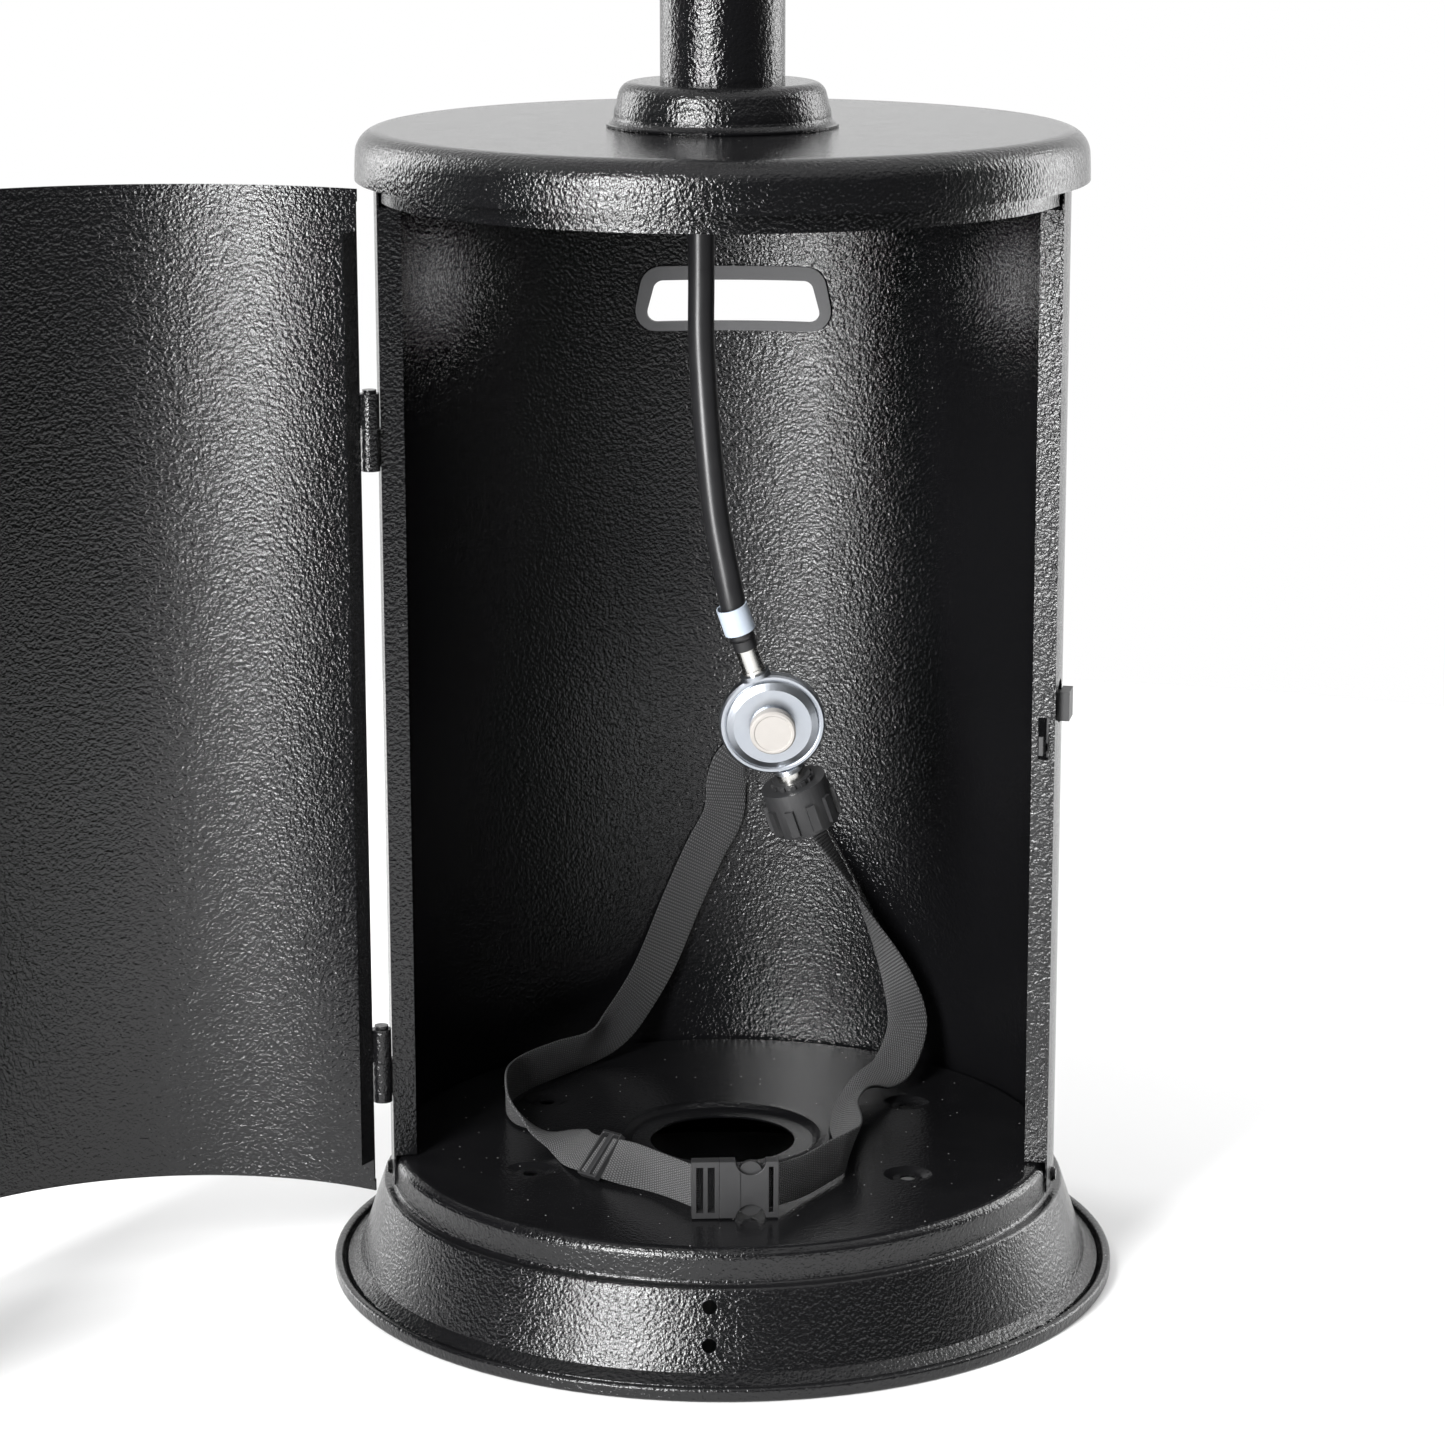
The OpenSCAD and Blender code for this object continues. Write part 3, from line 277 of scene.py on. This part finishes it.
class Finish(Graph):
    """A material: its Principled shader and what feeds it."""

    def __init__(self, name):
        self.material = bpy.data.materials.new(name)
        self.material.use_nodes = True
        super().__init__(self.material.node_tree)
        self.shader = self.tree.nodes["Principled BSDF"]

    def place(self):
        """Object coordinates in metres, which ride with the piece."""
        return self.node("TexCoord", {}, {}, "Object")

    def noise(self, size, detail=3, rough=0.55, at=None):
        sockets = {"Vector": at or self.place(), "Scale": 1 / size, "Detail": detail, "Roughness": rough}
        return self.node("TexNoise", {}, sockets, "Fac")

    def cells(self, size, feature="F1"):
        sockets = {"Vector": self.place(), "Scale": 1 / size}
        return self.node("TexVoronoi", {"feature": feature}, sockets, "Distance")

    def colours(self, factor, a, b):
        return self.node("Mix", {"data_type": "RGBA"}, {0: factor, 6: (*a, 1), 7: (*b, 1)}, 2)

    def over(self, factor, below, top):
        return self.node("Mix", {"data_type": "RGBA"}, {0: factor, 6: below, 7: (*top, 1)}, 2)

    def bump(self, height, depth, strength=1.0):
        return self.node("Bump", {}, {"Height": height, "Distance": depth, "Strength": strength})

    def finish(self, **sockets):
        for name, value in sockets.items():
            socket = self.shader.inputs[name.replace("_", " ").title()]
            if isinstance(value, Value):
                self.tree.links.new(value.socket, socket)
            else:
                socket.default_value = value
        return self.material


print("shader arithmetic ready: + - * < > on sockets")

# %% [markdown]
# A studio shot uses a white sweep and a few soft boxes. One tall box to the front left makes the upright
# highlight on the round base and the bright streak inside the housing. The room is white behind and above
# and dark behind the camera, so black paint stays black in front and turns pale at its edges.

# %% Floor and light
FLOOR_R = 1.6
FLOOR_SIDES = 96
AIM_HEIGHT = 0.4
floor_turns = [math.tau * k / FLOOR_SIDES for k in range(FLOOR_SIDES)]
floor_rim = [(FLOOR_R * math.cos(turn), FLOOR_R * math.sin(turn), 0) for turn in floor_turns]
floor_mesh = bpy.data.meshes.new("floor")
floor_mesh.from_pydata(floor_rim, [], [tuple(range(FLOOR_SIDES))])
floor = bpy.data.objects.new("floor", floor_mesh)
scene.collection.objects.link(floor)


def soft_box(name, bearing, distance, height, size, power):
    """An area light at a bearing from the front, turned towards the heater."""
    lamp = bpy.data.lights.new(name, "AREA")
    lamp.shape = "RECTANGLE"
    lamp.size, lamp.size_y = size
    lamp.energy = power
    box = bpy.data.objects.new(name, lamp)
    box.location = (distance * math.sin(bearing), -distance * math.cos(bearing), height)
    box.rotation_euler = (Vector((0, 0, AIM_HEIGHT)) - box.location).to_track_quat("-Z", "Y").to_euler()
    scene.collection.objects.link(box)


soft_box("front_left_box", math.radians(-30), 2.6, 1.1, (0.75, 1.9), 170)
soft_box("left_rim_box", math.radians(-122), 2.2, 0.9, (0.7, 2.0), 34)
soft_box("right_rim_box", math.radians(122), 2.2, 0.9, (0.7, 2.0), 34)

room = bpy.data.worlds.new("white_room")
room.use_nodes = True
walls = Graph(room.node_tree)
facing = walls.node("TexCoord", {}, {}, "Generated")
behind = walls.ramp(walls.part(facing, "Y"), -0.25, 0.45)
above = walls.ramp(walls.part(facing, "Z"), 0.35, 0.95)
glow = behind.math("MAXIMUM", behind, above) * 0.92 + 0.06
seen = walls.node("LightPath", {}, {}, "Is Camera Ray")
room.node_tree.links.new(seen.math("MAXIMUM", seen, glow).socket,
                         room.node_tree.nodes["Background"].inputs["Strength"])
room.node_tree.nodes["Background"].inputs["Color"].default_value = (1, 1, 1, 1)
scene.world = room
scene.view_settings.view_transform = "Standard"

# %% [markdown]
# Hammered powder coat is a thick black paint that pulls into soft pebbles 2 to 3 mm across as it bakes.
# Cells make the pebbles and fine noise the orange peel between them. Both only tilt the normal, so the
# black stays black and the soft boxes break into sparkle. Dust settles on faces that look up.

# %% Hammered black coat
PEBBLE = 2.3 * MM
PEBBLE_RISE = 0.42 * MM
DUST_SPACING = 9 * MM


def black_coat():
    coat = Finish("black_coat")
    pebbles = coat.cells(PEBBLE, "SMOOTH_F1")
    peel = coat.noise(0.6 * PEBBLE, 2)
    upward = coat.part(coat.node("NewGeometry", {}, {}, "Normal"), "Z") > 0.9
    specks = (coat.cells(DUST_SPACING) < 0.05) * upward
    film = coat.noise(35 * MM, 4) * upward
    tint = coat.colours(film * 0.5, (0.004, 0.004, 0.0045), (0.016, 0.016, 0.017))
    tint = coat.over(specks, tint, (0.40, 0.40, 0.40))
    rough = coat.noise(18 * MM, 3) * 0.05 + 0.10 + specks * 0.4
    height = (pebbles * 0.8 + peel) * (1 - upward * 0.6)
    normal = coat.bump(height, PEBBLE_RISE)
    return coat.finish(base_color=tint, roughness=rough, normal=normal)


FINISHES = {"black_coat": black_coat()}
print("made", *FINISHES)

# %% [markdown]
# Moulded plastic and rubber have a fine spark-eroded grain that spreads the highlight. The grain is noise a
# fraction of a millimetre across, with slow changes of roughness where hands have polished it.

# %% Plastics and rubbers
def moulded(name, dark, light, gloss, grain, depth):
    skin = Finish(name)
    patches = skin.noise(14 * MM, 3)
    fine = skin.noise(grain * MM, 2)
    tint = skin.colours(patches * 0.7 + fine * 0.3, dark, light)
    rough = gloss + patches * 0.12 + fine * 0.06
    normal = skin.bump(fine, depth * MM, 0.5)
    return skin.finish(base_color=tint, roughness=rough, normal=normal)


# Darkest and lightest tint, roughness, and the grain's size and depth in millimetres
MOULDED = {
    "trim_rubber": ((0.07, 0.07, 0.073), (0.11, 0.11, 0.113), 0.55, 0.5, 0.05),
    "dark_plastic": ((0.016, 0.016, 0.017), (0.030, 0.030, 0.031), 0.32, 0.45, 0.06),
    "hose_rubber": ((0.009, 0.009, 0.010), (0.018, 0.018, 0.019), 0.24, 0.8, 0.02),
    "label_film": ((0.36, 0.42, 0.50), (0.48, 0.53, 0.60), 0.35, 1.2, 0.03),
    "cap_plastic": ((0.34, 0.32, 0.30), (0.42, 0.40, 0.38), 0.60, 0.5, 0.04),
    "diaphragm_rubber": ((0.03, 0.03, 0.03), (0.05, 0.05, 0.05), 0.6, 0.5, 0.04),
    "red_plastic": ((0.38, 0.015, 0.012), (0.50, 0.03, 0.02), 0.20, 0.8, 0.02),
    "ceramic": ((0.74, 0.73, 0.69), (0.84, 0.83, 0.80), 0.12, 1.5, 0.02),
}
for name, look in MOULDED.items():
    FINISHES[name] = moulded(name, *look)
print("made", ", ".join(MOULDED))

# %% [markdown]
# Turned, rolled and plated metal carries long fine marks. Noise stretched hard along one axis gives them.
# It changes roughness and bump, and a slow noise shifts the tint a little, as plating does.

# %% Metals
MARK = 1.2 * MM
ALONG_Z = (1, 1, 0.04)


def metal(name, dark, light, gloss, stretch):
    plate = Finish(name)
    long = plate.node("VectorMath", {"operation": "MULTIPLY"}, {0: plate.place(), 1: stretch})
    marks = plate.noise(MARK, 2, 0.5, long)
    cloud = plate.noise(22 * MM, 4)
    tint = plate.colours(cloud, dark, light)
    rough = gloss + marks * 0.14 + cloud * 0.06
    normal = plate.bump(marks, 0.03 * MM, 0.4)
    return plate.finish(base_color=tint, metallic=1.0, roughness=rough, normal=normal)


# Darkest and lightest tint, roughness, and how far the marks are squeezed along X, Y and Z
METALS = {
    "zinc_steel": ((0.52, 0.53, 0.55), (0.64, 0.65, 0.66), 0.22, ALONG_Z),
    "nickel": ((0.62, 0.61, 0.59), (0.74, 0.73, 0.70), 0.14, ALONG_Z),
    "regulator_zinc": ((0.36, 0.39, 0.44), (0.50, 0.52, 0.55), 0.22, (1, 0.2, 1)),
    "brass": ((0.62, 0.46, 0.20), (0.76, 0.60, 0.30), 0.20, ALONG_Z),
    "burner_steel": ((0.44, 0.42, 0.40), (0.56, 0.55, 0.53), 0.28, ALONG_Z),
    "bright_aluminium": ((0.74, 0.74, 0.75), (0.84, 0.84, 0.85), 0.18, (0.1, 1, 1)),
}
for name, look in METALS.items():
    FINISHES[name] = metal(name, *look)
print("made", ", ".join(METALS))

# %% [markdown]
# Webbing is woven in rows across its width. Each row shows as a line of short raised dashes, and the next
# row is set over by half a dash. The strip's map gives metres across and along, so the rows follow every
# twist of the belt, which a texture fixed in space could not do.

# %% Webbing
ROW = 2.0 * MM
DASH = 1.4 * MM
CREST = 0.9 * MM


def webbing():
    cloth = Finish("webbing")
    chart = cloth.node("UVMap", {"uv_map": "weave"}, {})
    row = cloth.part(chart, "Y") * (1 / ROW)
    odd = (row * 0.5).fraction() > 0.5
    dash = cloth.part(chart, "X") * (1 / DASH) + odd * 0.5 + 40
    thread = (row.fraction() * math.pi).sine() * (dash.fraction() * math.pi).sine()
    fluff = cloth.noise(0.4 * MM, 2)
    # The crests are painted lighter and the gaps between threads darker: a painted highlight on each crest and
    # painted shade between them, with a little random fluff.
    painted_crest_highlight = thread * thread * 0.85 + fluff * 0.15
    tint = cloth.colours(painted_crest_highlight, (0.003, 0.003, 0.0033), (0.12, 0.12, 0.124))
    normal = cloth.bump(thread, CREST)
    return cloth.finish(base_color=tint, roughness=0.75 - thread * 0.2, sheen_weight=0.1, normal=normal)


FINISHES["webbing"] = webbing()
print("made webbing, with a row every", round(ROW / MM, 1), "mm")

# %% [markdown]
# The emitter screen is steel sheet with punched holes in offset rows. Thousands of real holes would make the
# mesh very heavy, so the holes are cut by Alpha from the angle round the axis and the height.

# %% Perforated emitter
HOLE_PITCH = 8 * MM
ROW_PITCH = 0.87 * HOLE_PITCH
SCREEN_R = 103 * MM


def perforated_steel():
    sheet = Finish("perforated_steel")
    x, y, z = [sheet.part(sheet.place(), axis) for axis in "XYZ"]
    turn = x.math("ARCTAN2", x, y) * (round(SCREEN_R * math.tau / HOLE_PITCH) / math.tau)
    row = z * (1 / ROW_PITCH)
    odd = (row * 0.5).fraction() > 0.5
    u = (turn + odd * 0.5).fraction() - 0.5
    v = (row.fraction() - 0.5) * (ROW_PITCH / HOLE_PITCH)
    hole = (u * u + v * v) < 0.075
    heat = sheet.noise(30 * MM, 4)
    tint = sheet.colours(heat, (0.42, 0.41, 0.40), (0.56, 0.54, 0.50))
    return sheet.finish(base_color=tint, metallic=1.0, roughness=0.3 + heat * 0.12, alpha=1 - hole)


FINISHES["perforated_steel"] = perforated_steel()
print("made perforated_steel, with a hole every", round(HOLE_PITCH / MM), "mm")

# %% [markdown]
# Each CAD part has a material slot in its record, and every slot has one finish. Two parts differ: the
# screen is perforated, and the brass stem between regulator and nut is plated. A finish is linked to the
# object and not to its mesh, so the exact CAD mesh stays as it is.

# %% Paint the frame
FINISH_OF_PART = {"emitter_screen": "perforated_steel", "inlet_stem": "nickel"}


def paint(piece, material):
    """Puts one finish on a piece without touching its mesh."""
    if not piece.material_slots:
        piece.data.materials.append(material)
    for spot in piece.material_slots:
        spot.link = "OBJECT"
        spot.material = material


for entry in frame["record"]["subparts"]:
    part = entry["node"]
    paint(frame["nodes"][part], FINISHES[FINISH_OF_PART.get(part, entry["material_slot"])])
paint(gas_hose, FINISHES["hose_rubber"])
paint(tank_belt, FINISHES["webbing"])
print("finishes:", len(FINISHES))

# %% [markdown]
# The floor is seamless white paper with no shine, so the heater leaves only a soft shadow on it.

# %% Floor finish
paper = Finish("white_sweep")
paint(floor, paper.finish(base_color=(0.86, 0.86, 0.86, 1), roughness=0.9))
print("floor painted", paper.material.name)

# %% [markdown]
# Moulded parts never have knife edges. A Weld modifier joins the imported corners and a Bevel rounds them,
# and both leave the mesh itself alone.

# %% Rounded mouldings
EDGE_R = {
    "buckle_male": 1.0, "buckle_female": 1.0, "belt_slider": 0.8, "coupling_nut": 0.8,
    "latch_slider": 1.0, "control_knob": 1.0,
}
for name, radius in EDGE_R.items():
    piece = frame["nodes"][name]
    weld = piece.modifiers.new("weld", "WELD")
    weld.merge_threshold = 0.01 * MM
    bevel = piece.modifiers.new("rounding", "BEVEL")
    bevel.width = radius * MM
    bevel.segments = 3
    bevel.limit_method = "ANGLE"
    bevel.angle_limit = math.radians(40)
    bevel.harden_normals = True
print("rounded:", ", ".join(EDGE_R))

# %% [markdown]

# %% End
print("scene ready")
